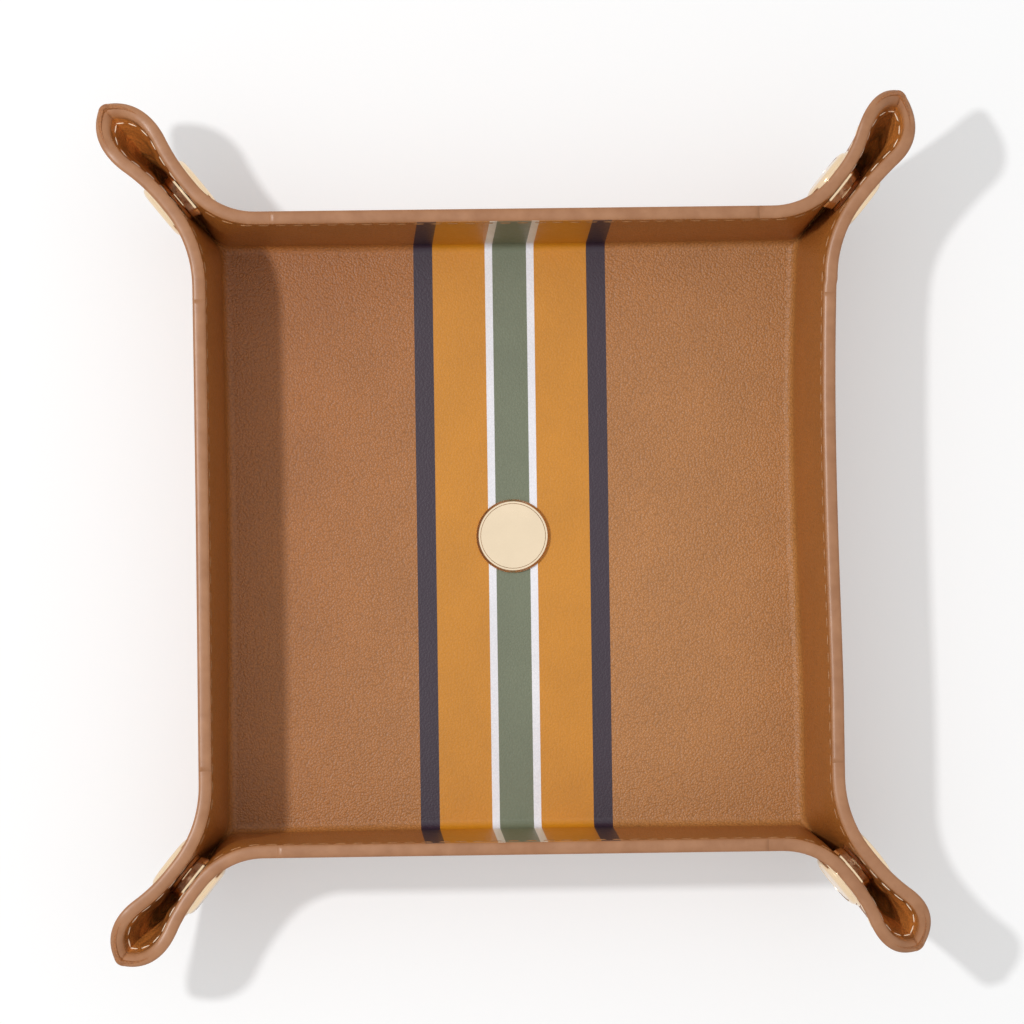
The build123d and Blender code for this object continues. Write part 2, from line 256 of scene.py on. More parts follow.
def lining_paint(add, link, place):
    """The lining's colour with its painted sheen and shade, how much grain shows in it, and the
    painted shade and highlight of its ear creases.
    """
    split = add("SeparateXYZ")
    away = add("Math", operation="ABSOLUTE")
    slant = add("VectorMath", operation="DOT_PRODUCT")
    slant.inputs[1].default_value = sheen_heading
    link(place, split.inputs[0])
    link(split.outputs["X"], away.inputs[0])
    link(place, slant.inputs[0])
    height, away = split.outputs["Z"], away.outputs[0]

    # painted sheen and shade on the floor: darker towards one side, and paler where a sheen shows
    flat = ramp(add, link, height, floor_to_wall_start * mm, floor_to_wall_end * mm, 1.0, 0.0)
    sheen_share = ramp(add, link, slant.outputs["Value"], sheen_start * mm, sheen_end * mm)
    floor_sheen = mixed(add, link, sheen_share, shaded_tan, sheen_tan)
    paint = mixed(add, link, flat, tan_colour, floor_sheen, "MULTIPLY")
    for edge, colour in stripes:
        inside = ramp(add, link, away, (edge + stripe_blur) * mm, (edge - stripe_blur) * mm)
        paint = mixed(add, link, inside, paint, colour)
    painted_from, painted_to = dark_edge + paint_blur, dark_edge - paint_blur
    grain = ramp(add, link, away, painted_from * mm, painted_to * mm, 1.0, grain_under_paint)

    # painted shade: the walls are tinted warmer and less blue than the floor, as they look in shade
    raised = ramp(add, link, height, floor_to_wall_start * mm, floor_to_wall_end * mm)
    paint = mixed(add, link, raised, paint, wall_shade_tint, "MULTIPLY")
    pinched = in_the_ears(add, link, place)
    paint = mixed(add, link, pinched, paint, ear_tint, "MULTIPLY")
    drawn = add("VectorMath", operation="MULTIPLY")
    drawn.inputs[1].default_value = crumple_draw
    crumple = add("TexNoise", scale=380.0, detail=3.0, roughness=0.5, distortion=0.8)
    link(place, drawn.inputs[0])
    link(drawn.outputs[0], crumple.inputs["Vector"])
    # painted shade and highlight: the ears' creases darker and their ridges paler
    crease = ramp(
        add, link, crumple.outputs["Fac"],
        crumple_low, crumple_high, crease_painted_shade, crease_painted_highlight, "LINEAR",
    )
    return paint, grain, partly(add, link, pinched, crease)


def leather_finish(name, roughness, colour=None):
    """Pebbled leather: tone that wanders, pressed pores and fine creases.

    With no colour it is the lining's leather, with its stripes, painted sheen and shade, and painted
    shade in its ear creases.
    """
    material, shader, add, link = new_material(name)
    place = add("TexCoord").outputs["Object"]
    tone = add("TexNoise", scale=55.0, detail=5.0, roughness=0.6)
    speck = add("TexNoise", scale=900.0, detail=2.0, roughness=0.5)
    warp = add("TexNoise", scale=520.0, detail=6.0, roughness=0.62)
    for texture in (tone, speck, warp):
        link(place, texture.inputs["Vector"])
    swirl = add("VectorMath", operation="SCALE", scale=swirl_size * mm)
    drift = add("VectorMath", operation="ADD")
    pore = add("TexVoronoi", scale=2100.0)
    link(warp.outputs["Color"], swirl.inputs[0])
    link(place, drift.inputs[0])
    link(swirl.outputs[0], drift.inputs[1])
    link(drift.outputs[0], pore.inputs["Vector"])

    # tone that wanders at random, and the grain paler on the pebbles and darker down in the pores:
    # partly the grain's own tone, partly painted shade in its hollows
    wander = ramp(
        add, link, tone.outputs["Fac"], tone_low, tone_high, tone_dark, tone_pale, "LINEAR"
    )
    pit = ramp(
        add, link, pore.outputs["Distance"], pore_near, pore_far, pebble_pale, pore_dark, "LINEAR"
    )
    fine = add("Bump", strength=fine_strength, distance=fine_depth * mm, invert=True)
    coarse = add("Bump", strength=coarse_strength, distance=coarse_depth * mm)
    if colour:
        paint = add("RGB").outputs[0]
        paint.default_value = (*colour, 1.0)
        shade = product(add, link, wander, pit)
    else:
        paint, grain, ear_crease_shading = lining_paint(add, link, place)
        shade = product(add, link, wander, partly(add, link, grain, pit))
        shade = product(add, link, shade, ear_crease_shading)
        for pressed in (fine, coarse):
            depth = add("Math", operation="MULTIPLY")
            depth.inputs[1].default_value = pressed.inputs["Strength"].default_value
            link(grain, depth.inputs[0])
            link(depth.outputs[0], pressed.inputs["Strength"])
    toned = add("VectorMath", operation="SCALE")
    link(paint, toned.inputs[0])
    link(shade, toned.inputs["Scale"])
    link(toned.outputs[0], shader.inputs["Base Color"])
    smooth, dull = roughness - smoother, roughness + duller
    gloss = ramp(add, link, speck.outputs["Fac"], 0.0, 1.0, smooth, dull, "LINEAR")
    link(gloss, shader.inputs["Roughness"])
    link(warp.outputs["Fac"], coarse.inputs["Height"])
    link(pore.outputs["Distance"], fine.inputs["Height"])
    link(coarse.outputs["Normal"], fine.inputs["Normal"])
    link(fine.outputs["Normal"], shader.inputs["Normal"])
    return material


lining_leather = leather_finish("lining_leather", 0.43)
outer_leather = leather_finish("outer_leather", 0.46, outer_colour)


# The floor lining is one flat panel of the blank between its four folds, glued
# over a stiff board. Under it lies the outer leather, whose corners are rounded.
fold_radius = 3.4
lining_top = 2.8
lining_thickness = 0.75
outer_thickness = 1.35
striped_bend = 64.9
plain_bend = 63.7
floor_lap = 2.7
floor_divisions = 60
bevel_room = 1.001
just_over_table = 0.001


def select_only(piece):
    """The piece alone is selected, and active for the next operator."""
    bpy.ops.object.select_all(action="DESELECT")
    piece.select_set(True)
    bpy.context.view_layer.objects.active = piece


def finish_piece(piece, material, sharp=35.0):
    """Smooth shading with sharp rims, and the piece's material."""
    select_only(piece)
    bpy.ops.object.shade_smooth_by_angle(angle=radians(sharp))
    piece.data.materials.clear()
    piece.data.materials.append(material)


def thicken(piece, thickness):
    """Gives a sheet its thickness, away from the side that its faces look to."""
    modifier = piece.modifiers.new("thickness", "SOLIDIFY")
    modifier.thickness = thickness * mm
    modifier.offset = -1.0
    modifier.use_even_offset = False
    select_only(piece)
    bpy.ops.object.modifier_apply(modifier=modifier.name)


def edit_all(piece):
    select_only(piece)
    bpy.ops.object.mode_set(mode="EDIT")
    bpy.ops.mesh.select_all(action="SELECT")


def turn_over(piece):
    """Turns a sheet's faces to its other side."""
    edit_all(piece)
    bpy.ops.mesh.flip_normals()
    bpy.ops.object.mode_set(mode="OBJECT")


bpy.ops.object.select_all(action="DESELECT")
bpy.ops.mesh.primitive_grid_add(
    x_subdivisions=floor_divisions, y_subdivisions=floor_divisions, size=2.0
)
floor_lining = bpy.context.object
floor_lining.name = "floor_lining_leather"
for vertex in floor_lining.data.vertices:
    vertex.co = Vector((
        vertex.co.x * (plain_bend + floor_lap) * mm,
        vertex.co.y * (striped_bend + floor_lap) * mm,
        lining_top * mm,
    ))
thicken(floor_lining, lining_thickness)
finish_piece(floor_lining, lining_leather)
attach(floor_lining, "floor")
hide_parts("floor_lining")

# the outer leather: a shallow pan whose rounded sides stay only at the corners,
# because the walls' own leather makes the rest of the fold
bpy.ops.object.select_all(action="DESELECT")
bpy.ops.mesh.primitive_cube_add(size=2.0, location=(0.0, 0.0, fold_radius * mm))
floor_outer = bpy.context.object
floor_outer.name = "floor_outer_leather"
bpy.ops.object.transform_apply(location=True)
for vertex in floor_outer.data.vertices:
    above = copysign(fold_radius * mm * bevel_room, vertex.co.z - fold_radius * mm)
    vertex.co = Vector((
        copysign((plain_bend + fold_radius) * mm, vertex.co.x),
        copysign((striped_bend + fold_radius) * mm, vertex.co.y),
        fold_radius * mm + above,
    ))
edit_all(floor_outer)
bpy.ops.mesh.bevel(offset=fold_radius * mm, segments=8, affect="EDGES", clamp_overlap=False)
bpy.ops.mesh.select_all(action="SELECT")
bpy.ops.mesh.bisect(
    plane_co=(0.0, 0.0, fold_radius * mm), plane_no=(0.0, 0.0, 1.0), clear_outer=True
)
bpy.ops.mesh.select_all(action="DESELECT")
bpy.ops.object.mode_set(mode="OBJECT")
for polygon in floor_outer.data.polygons:
    x, y, z = polygon.center / mm
    on_fold = (abs(x) > plain_bend) != (abs(y) > striped_bend)
    polygon.select = on_fold and z > just_over_table
bpy.ops.object.mode_set(mode="EDIT")
bpy.ops.mesh.delete(type="FACE")
bpy.ops.mesh.select_all(action="SELECT")
bpy.ops.mesh.remove_doubles(threshold=1e-6)
bpy.ops.mesh.normals_make_consistent(inside=False)
bpy.ops.object.mode_set(mode="OBJECT")
if min(floor_outer.data.polygons, key=lambda face: face.center.z).normal.z > 0:
    turn_over(floor_outer)
thicken(floor_outer, outer_thickness)
finish_piece(floor_outer, outer_leather)
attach(floor_outer, "floor")
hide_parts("floor_outer")


# The four walls and the eight ear halves are the edge of one blank, folded up at
# the floor and pinched at the corners. Lining and outer leather are glued back to
# back, and each lies on a path of arcs that runs from the wall out to the crease.
rim_height = 40.0
snap_height = 30.0
wall_mid = 69.6
half_leather = lining_top / 2
ear_reach = 34.7
ear_round = 15.0
foot_run = 1.474
crease_round = 0.5
level_heights = (fold_radius, snap_height, rim_height)
level_blend = 6.0
# at each of the three heights: the gap between the two linings by the stud, how far
# the loop turns at its nose, how far it swells from the neck, and where along the
# ear, as a share of its length up to the nose, the neck starts and ends
gaps = (0.3, 2.8, 3.5)
nose_angles = (78.0, 48.0, 46.0)
swells = (0.066, 0.44, 1.95)
neck_start_shares = (0.2825, 0.0845, 0.2739)
neck_end_shares = (0.4708, 0.7164, 0.3368)

# turn is the angle from the wall to its ear, and lean and next lean are how far
# this wall and the next one slope outwards from the fold to the rim
Side = namedtuple("Side", "turn lean next_lean")
striped = Side(radians(51.0), 2.7, 3.9)
plain = Side(radians(39.0), 3.9, 2.7)
# heading turns the wall from +Y to its own side, right and left are its ears, and
# the last three say where it is bowed in, and how far at the floor and at the rim
Wall = namedtuple("Wall", "name side heading right left bow_at bow_floor bow_rim")
walls = (
    Wall("north", striped, 0.0, "ne", "nw", 10.0, 0.2, 0.0),
    Wall("south", striped, 180.0, "sw", "se", 0.0, 0.3, 0.0),
    Wall("east", plain, -90.0, "se", "ne", -24.0, 1.4, 0.9),
    Wall("west", plain, 90.0, "nw", "sw", 8.0, 0.6, 0.1),
)
bow_run = 62.0


def wide(index):
    """From the middle of an ear to the middle of its leather, where it is widest."""
    return half_leather + gaps[index] / 2 + swells[index]


def loop_size(index):
    """Radius of the arc on which the ear's leather swings in to the crease."""
    return wide(index) / (1 - cos(radians(nose_angles[index])))


def down(height):
    """How far down the wall a height is: 0 at the rim, 1 at the fold."""
    return (rim_height - height) / (rim_height - fold_radius)


def crease_out(height):
    """From the wall corner out to the crease, at a height."""
    foot = foot_run + loop_size(0) * sin(radians(nose_angles[0]))
    return ear_reach - (ear_reach - foot) * down(height)


class EarLevel:
    """The leather's path at one height: wall, root arc, neck, flare, loop, crease."""

    def __init__(self, side, index):
        height = level_heights[index]
        drop = down(height)
        swell = swells[index]
        self.turn = side.turn
        self.corner = (wall_mid - side.next_lean * drop, wall_mid - side.lean * drop)
        self.wide = wide(index)
        self.neck = self.wide - swell
        self.loop = loop_size(index)
        self.bulge_out = crease_out(height) - self.loop * sin(radians(nose_angles[index]))
        self.neck_start = neck_start_shares[index] * self.bulge_out
        self.neck_end = neck_end_shares[index] * self.bulge_out
        self.root = (self.neck_start + self.neck / tan(self.turn)) / tan(self.turn / 2)
        run = self.bulge_out - self.neck_end
        self.flare = 2 * atan(swell / run)
        self.flare_radius = run / sin(self.flare) - self.loop

    def place(self, out, off):
        return (
            self.corner[0] + out * cos(self.turn) - off * sin(self.turn),
            self.corner[1] + out * sin(self.turn) + off * cos(self.turn),
        )

    def root_point(self, angle, offset):
        radius = self.root - offset
        return (self.neck_start - radius * sin(angle), self.neck + self.root - radius * cos(angle))

    def flare_point(self, angle, offset):
        radius = self.flare_radius - offset
        out = self.neck_end + radius * sin(angle)
        return (out, self.neck + self.flare_radius - radius * cos(angle))

    def point(self, way, offset):
        """0 to 1 is the wall, to 2 the root, 3 the neck, 4 the flare, 5 the loop, 6 the crease."""
        part = min(int(way), 5)
        share = way - part
        if part == 0:
            x, y = self.place(*self.root_point(self.turn, offset))
            return (x * share, y)
        if part == 1:
            return self.place(*self.root_point(self.turn * (1 - share), offset))
        if part == 2:
            start, end = self.root_point(0, offset), self.flare_point(0, offset)
            return self.place(start[0] + (end[0] - start[0]) * share, start[1])
        if part == 3:
            return self.place(*self.flare_point(self.flare * share, offset))
        rounding = max(0.0, offset + crease_round)
        reach = self.loop + offset - rounding
        last = acos((self.loop - self.wide) / reach)
        if part == 4:
            angle = -self.flare + share * (last + self.flare)
            radius = self.loop + offset
            out = self.bulge_out + radius * sin(angle)
            return self.place(out, self.wide - self.loop + radius * cos(angle))
        angle = last + share * (pi / 2 - last)
        out = self.bulge_out + reach * sin(last) + rounding * sin(angle)
        return self.place(out, rounding * cos(angle))


levels = {
    side: [EarLevel(side, index) for index in range(len(level_heights))]
    for side in (striped, plain)
}


def strip_point(side, way, offset, height):
    """A point of the leather of the wall towards +Y.

    It runs straight between the three levels, with a soft turn at the middle one.
    """
    low, middle, high = level_heights
    above = height - middle
    if abs(above) < level_blend:
        above = (above + level_blend) ** 2 / (4 * level_blend)
    above = max(0.0, above)
    rise = (height - low - above) / (middle - low)
    top = above / (high - middle)
    shares = (1 - rise, rise - top, top)
    x = y = 0.0
    for share, level in zip(shares, levels[side]):
        point = level.point(abs(way), offset)
        x += share * point[0]
        y += share * point[1]
    return Vector((copysign(x, way), y, height))


def bowed(wall, x, height, lined):
    """How far the wall has sunk inwards, which shows most at the foot of the lining."""
    near = max(0.0, 1.0 - ((x - wall.bow_at) / bow_run) ** 2) ** 1.5
    inside_ends = max(0.0, 1 - (x / bow_run) ** 4)
    up = (height - lining_top) / (rim_height - lining_top)
    foot = wall.bow_floor * (1 - up) if lined else 0.0
    return near * inside_ends * (foot + wall.bow_rim * up)


ear_drift = {"ne": (-4.2, 2.4), "nw": (-1.5, 0.9), "se": (-2.6, 1.75), "sw": (0.2, 0.7)}
drift_start = 9.0
drift_run = 27.0


def drifted(wall, way, point):
    """How far soft leather has strayed sideways here, from the studs out to the tip."""
    side = wall.side
    x = abs(point.x) - wall_mid + side.next_lean * down(point.z)
    y = point.y - wall_mid + side.lean * down(point.z)
    out = x * cos(side.turn) + y * sin(side.turn)
    share = max(0.0, out - drift_start) / drift_run
    ear = wall.right if way > 0 else wall.left
    return Vector((*ear_drift[ear], 0.0)) * share ** 2 * mm


def on_tray(wall, point):
    """From the millimetres of a wall towards +Y to that wall's own place on the tray."""
    return Matrix.Rotation(radians(wall.heading), 3, "Z") @ (point * mm)


def on_strip(wall, way, offset, height):
    """A point of this wall's leather, sunk where it bows and strayed in its ears."""
    point = strip_point(wall.side, way, offset, height)
    if abs(way) < 1.0:
        point.y -= bowed(wall, point.x, height, offset < 0)
        return on_tray(wall, point)
    return on_tray(wall, point) + drifted(wall, way, point)


edge_heights = {}
halvings = 24


def edge_height(side, way):
    """Height of the blank's cut edge, which drops round the ear's rounded corner."""
    key = (side, round(way, 5))
    if key not in edge_heights:
        centre_height = rim_height - ear_round
        turn = side.turn
        back = (side.next_lean * cos(turn) + side.lean * sin(turn)) * down(centre_height)
        centre_out = crease_out(centre_height) - back

        def inside(height):
            x, y, _ = strip_point(side, way, 0.0, height)
            out = (x - wall_mid) * cos(turn) + (y - wall_mid) * sin(turn)
            rise = height - centre_height
            return out < centre_out or (out - centre_out) ** 2 + rise ** 2 < ear_round ** 2

        low, high = centre_height, rim_height
        if inside(high):
            low = high
        for _ in range(halvings):
            middle = (low + high) / 2
            low, high = (middle, high) if inside(middle) else (low, middle)
        edge_heights[key] = low
    return edge_heights[key]


def below_edge(side, way, depth):
    """The height that is so many millimetres of leather below the cut edge."""
    top = edge_height(side, way)
    step = strip_point(side, way, 0.0, top) - strip_point(side, way, 0.0, top - 1.0)
    return top - depth / step.length


def at_depth(wall, way, offset, depth):
    """A point of this wall's leather at that depth below the cut edge."""
    return on_strip(wall, way, offset, below_edge(wall.side, abs(way), depth))


def spread(*runs):
    """Places along the path: (first, last, divisions) for each run."""
    ways = [runs[0][0]]
    for first, last, divisions in runs:
        ways += [first + (last - first) * (step + 1) / divisions for step in range(divisions)]
    return ways


# a wall's own sheet ends at the seam way, where those of its ear halves begin
seam_way = 0.95
root_run, neck_run = (1.0, 2.0, 12), (2.0, 3.0, 3)
flare_run, loop_run = (3.0, 4.0, 10), (4.0, 5.0, 20)
ear_ways = spread((seam_way, 1.0, 2), root_run, neck_run, flare_run, loop_run)
crease_ways = ear_ways + spread((5.0, 6.0, 7))[1:]
wall_columns, wall_rows = 70, 40
fold_rows = 12
ear_rows = 40
fold_start = radians(5.0)
lining_fold = 2.0
edge_cover = 0.35
lining_fold_end = spread((1.0, 2.0, 8), (2.0, 3.0, 2), (3.0, 5.0, 4))
outer_fold_end = [1.0, 1.07, 1.15]
# a small step through the leather, which tells its two sides apart
nudge = 0.1
# faces says which side shows: -1 the inside of the tray, 1 its outside
Layer = namedtuple("Layer", "name material thickness faces face bottom radius fold_end ear_ways")
lining = Layer(
    "lining", lining_leather, lining_thickness, -1, -half_leather,
    lining_top, lining_fold, lining_fold_end, ear_ways,
)
outer = Layer(
    "outer", outer_leather, outer_thickness, 1, half_leather,
    0.0, fold_radius, outer_fold_end, crease_ways,
)


def fold_top(layer):
    """Where the layer's fold at the floor ends and its wall begins."""
    return layer.bottom + layer.radius * (1 - sin(fold_start))


def laid_grid(name, columns, rows, place):
    """A grid whose corners are laid by place(column, row)."""
    bpy.ops.object.select_all(action="DESELECT")
    bpy.ops.mesh.primitive_grid_add(x_subdivisions=columns, y_subdivisions=rows, size=2.0)
    piece = bpy.context.object
    piece.name = name
    for vertex in piece.data.vertices:
        column = round((vertex.co.x + 1) / 2 * columns)
        row = round((vertex.co.y + 1) / 2 * rows)
        vertex.co = place(column, row)
    return piece


def folded_sheet(name, columns, rows, place, layer):
    """One layer of leather laid by place(column, row, lift), with its thickness."""
    piece = laid_grid(name, columns, rows, place)
    column, row = columns // 2, rows // 2
    middle = place(column, row)
    outwards = (place(column, row, nudge) - middle) * layer.faces
    facing = (place(column + 1, row) - middle).cross(place(column, row + 1) - middle)
    if facing.dot(outwards) < 0:
        turn_over(piece)
    thicken(piece, layer.thickness)
    finish_piece(piece, layer.material)
    return piece


def lay_wall(wall, layer):
    """One layer of a wall, between its fold at the floor and the painted edge."""
    foot = fold_top(layer)

    def place(column, row, lift=0.0):
        way = seam_way * (2 * column / wall_columns - 1)
        top = edge_height(wall.side, abs(way)) - edge_cover
        height = foot + (top - foot) * row / wall_rows
        return on_strip(wall, way, layer.face + lift, height)

    name = f"{wall.name}_wall_{layer.name}"
    piece = folded_sheet(f"{name}_leather", wall_columns, wall_rows, place, layer)
    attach(piece, f"{wall.name}_wall")
    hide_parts(name)


# the lining's fold runs on between the ear halves, along the ear past the neck
last_neck_way = 3.0
tuck_step = 1.5


def lay_fold(wall, layer):
    """The fold at the floor, which bends between the floor and the wall."""
    side, foot = wall.side, fold_top(layer)
    other_end = [-way for way in layer.fold_end[:0:-1]]
    ways = other_end + spread((-1.0, 1.0, wall_columns)) + layer.fold_end[1:]

    def place(column, row, lift=0.0):
        angle = fold_start + (pi / 2 - fold_start) * (1 - row / fold_rows)
        inwards = layer.radius * (cos(fold_start) - cos(angle))
        height = foot - layer.radius * (sin(angle) - sin(fold_start))
        way = ways[column]
        neck_way = copysign(min(abs(way), last_neck_way), way)
        tucked = tuck_step * (abs(way) - abs(neck_way))
        point = strip_point(side, neck_way, layer.face + lift - inwards, height)
        point += Vector((copysign(cos(side.turn), way), sin(side.turn), 0.0)) * tucked
        point.y -= bowed(wall, point.x, height, layer is lining)
        return on_tray(wall, point)

    name = f"{wall.name}_fold_{layer.name}_leather"
    piece = folded_sheet(name, len(ways) - 1, fold_rows, place, layer)
    wall_face = strip_point(side, 0.0, layer.face, foot).y
    start = on_tray(wall, Vector((0.0, wall_face - layer.radius, layer.bottom)))
    end = on_tray(wall, Vector((0.0, wall_face, foot)))
    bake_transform(piece)


# the line that an ear half bends about, and how far the bend reaches on both sides
bend_offset = -1.65
bend_back, bend_ahead = -4.5, 3.5


def bend_with_ear(piece, wall, end, ear):
    """Works out the line the piece would bend about, from the wall to the ear half at that end, 1
    right or -1 left, and bakes its place into its mesh.
    """
    half = wall.side.turn / 2
    lowest, _, highest = levels[wall.side]
    low = Vector((*lowest.place(*lowest.root_point(half, bend_offset)), fold_radius))
    high = Vector((*highest.place(*highest.root_point(half, bend_offset)), rim_height))
    along = (high - low).normalized()
    across = Vector((cos(half), sin(half), 0.0))
    across = (across - along * across.dot(along)).normalized()
    middle = (low + high) / 2
    flip = Vector((end, 1.0, 1.0))
    start, finish = (
        on_tray(wall, (middle + across * reach) * flip) for reach in (bend_back, bend_ahead)
    )
    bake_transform(piece)
    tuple(start)
    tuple(finish)


# the slack lining of an ear puffs up between its creases, which begin above its
# foot, below the stitches and past the neck, and cross as wide and narrow waves
pleat_height = 0.62
pleat_foot, pleat_rise = 12.0, 26.0
pleat_depth, pleat_fade = 3.6, 3.5
pleat_way, pleat_run = 3.05, 0.7
wide_wave = (0.33, 1.3)
narrow_wave = (0.62, -2.4)
wave_start = {"ne": 0.4, "nw": 1.9, "se": 3.3, "sw": 5.0}
foot_tuck, foot_tuck_run = 1.2, 0.5


def grown(distance, run):
    """From 0 at no distance to 1 past the run."""
    return min(1.0, max(0.0, distance / run))


def pleat(way, height, depth, ear):
    """How far the lining stands in from its smooth path, inside an ear."""
    room = max(0.0, (height - pleat_foot) / pleat_rise)
    below_stitches = grown(depth - pleat_depth, pleat_fade)
    past_neck = grown(way - pleat_way, pleat_run)
    start = wave_start[ear]
    wide_fold = abs(sin(wide_wave[0] * height + wide_wave[1] * way + start))
    narrow_fold = abs(sin(narrow_wave[0] * height + narrow_wave[1] * way + 2 * start))
    return pleat_height * room * below_stitches * past_neck * (wide_fold + 0.5 * narrow_fold)


def lay_ear(wall, layer, end, ear):
    """One layer of the ear half at that end of the wall, 1 right or -1 left."""
    foot, ways = fold_top(layer), layer.ear_ways

    def place(column, row, lift=0.0):
        way = ways[column]
        top = below_edge(wall.side, way, edge_cover)
        low = foot - foot_tuck * grown(way - 1.0, foot_tuck_run)
        height = low + (top - low) * row / ear_rows
        point = on_strip(wall, end * way, layer.face + lift, height)
        if layer is lining:
            inwards = point - on_strip(wall, end * way, layer.face + lift + nudge, height)
            point += inwards.normalized() * pleat(way, height, top - height, ear) * mm
        return point

    name = f"{ear}_ear_{wall.name}_{layer.name}"
    piece = folded_sheet(f"{name}_leather", len(ways) - 1, ear_rows, place, layer)
    bend_with_ear(piece, wall, end, ear)
    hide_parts(name)


for wall in walls:
    for layer in (lining, outer):
        lay_wall(wall, layer)
        lay_fold(wall, layer)
        lay_ear(wall, layer, 1, wall.right)
        lay_ear(wall, layer, -1, wall.left)


# The cut edge of the blank is sanded round and painted in several coats, which
# stand a hair proud of both leathers and cover the joint between them.
# the bead's outline: through the leather, and down from the top of the edge
edge_profile = (
    (-1.42, 0.75), (-1.43, 0.52), (-1.30, 0.27), (-1.0, 0.10), (-0.6, 0.02), (0.0, 0.0),
    (0.6, 0.02), (1.0, 0.10), (1.30, 0.27), (1.43, 0.52), (1.42, 0.75), (0.0, 0.75),
)
edge_dark = (0.325, 0.138, 0.055)
edge_pale = (0.395, 0.182, 0.082)
edge_columns = 90


def two_tones(add, link, value, dark, pale, dark_at, pale_at):
    """A colour ramp between two tones, which takes the value from a texture."""
    tones = add("ValToRGB")
    for element, colour, position in zip(
        tones.color_ramp.elements, (dark, pale), (dark_at, pale_at)
    ):
        element.position = position
        element.color = (*colour, 1.0)
    link(value, tones.inputs["Fac"])
    return tones.outputs["Color"]


edge_paint, shader, add, link = new_material("edge_paint")
streak = add("TexNoise", scale=260.0, detail=4.0, roughness=0.55)
bump = add("Bump", strength=0.25, distance=0.0003)
link(add("TexCoord").outputs["Object"], streak.inputs["Vector"])
coat = two_tones(add, link, streak.outputs["Fac"], edge_dark, edge_pale, 0.32, 0.68)
link(streak.outputs["Fac"], bump.inputs["Height"])
link(coat, shader.inputs["Base Color"])
link(bump.outputs["Normal"], shader.inputs["Normal"])
shader.inputs["Roughness"].default_value = 0.38


def painted_edge(name, wall, ways):
    """The painted edge along a run of the path, as a closed bead."""
    rows = len(edge_profile)

    def place(column, row):
        return at_depth(wall, ways[column], *edge_profile[row % rows])

    piece = laid_grid(name, len(ways) - 1, rows, place)
    edit_all(piece)
    bpy.ops.mesh.remove_doubles(threshold=2e-6)
    bpy.ops.mesh.fill_holes(sides=0)
    bpy.ops.mesh.select_all(action="SELECT")
    bpy.ops.mesh.normals_make_consistent(inside=False)
    bpy.ops.object.mode_set(mode="OBJECT")
    finish_piece(piece, edge_paint, sharp=75.0)
    return piece


for wall in walls:
    name = f"{wall.name}_wall_painted_edge"
    piece = painted_edge(name, wall, spread((-seam_way, seam_way, edge_columns)))
    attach(piece, f"{wall.name}_wall")
    for end, ear in ((1, wall.right), (-1, wall.left)):
        name = f"{ear}_ear_{wall.name}_painted_edge"
        piece = painted_edge(name, wall, [end * way for way in crease_ways])
        bend_with_ear(piece, wall, end, ear)


# One row of lockstitch in waxed tan thread holds lining and outer leather
# together, two and a half millimetres inside the painted edge. Each stitch pulls
# in at its two holes and stands proud between them.
stitch_pitch = 3.8
stitch_length = 2.6
stitch_width = 0.42
stitch_depth = 2.6
stitch_face = 1.36
stitch_bluntness = 0.7
last_wall_stitch = 0.93
last_ear_stitch = 4.93
loop_end_way = 5.0
way_steps = 1200
# a little further along the path, and a little further out through the leather
next_way = 0.01
next_face = 1.05
thread_dark = (0.32, 0.13, 0.04)
thread_pale = (0.46, 0.22, 0.08)
ear_thread_highlight = (0.92, 0.74, 0.55)
thread, shader, add, link = new_material("waxed_thread")
place = add("TexCoord").outputs["Object"]
twist = add("TexNoise", scale=2200.0, detail=2.0)
bump = add("Bump", strength=0.5, distance=0.0001)
link(place, twist.inputs["Vector"])
ply = two_tones(add, link, twist.outputs["Fac"], thread_dark, thread_pale, 0.35, 0.70)
link(twist.outputs["Fac"], bump.inputs["Height"])
link(bump.outputs["Normal"], shader.inputs["Normal"])
shader.inputs["Roughness"].default_value = 0.40
# painted highlight: in the ears the thread is painted pale, for the glints on its stitches
waxed = mixed(add, link, in_the_ears(add, link, place), ply, ear_thread_highlight)
link(waxed, shader.inputs["Base Color"])

bpy.ops.object.select_all(action="DESELECT")
bpy.ops.mesh.primitive_uv_sphere_add(segments=8, ring_count=8, radius=1.0)
one_stitch = bpy.context.object
edit_all(one_stitch)
bpy.ops.transform.rotate(value=radians(90.0), orient_axis="Y", center_override=(0.0, 0.0, 0.0))
bpy.ops.object.mode_set(mode="OBJECT")
stitch_points = []
for vertex in one_stitch.data.vertices:
    x, y, z = vertex.co
    blunt = copysign(abs(x) ** stitch_bluntness, x)
    x, y, z = blunt * stitch_length / 2, y * stitch_width / 2, z * stitch_width / 2
    stitch_points.append(Vector((x, y, z)))
stitch_faces = [tuple(face.vertices) for face in one_stitch.data.polygons]
bpy.data.objects.remove(one_stitch)


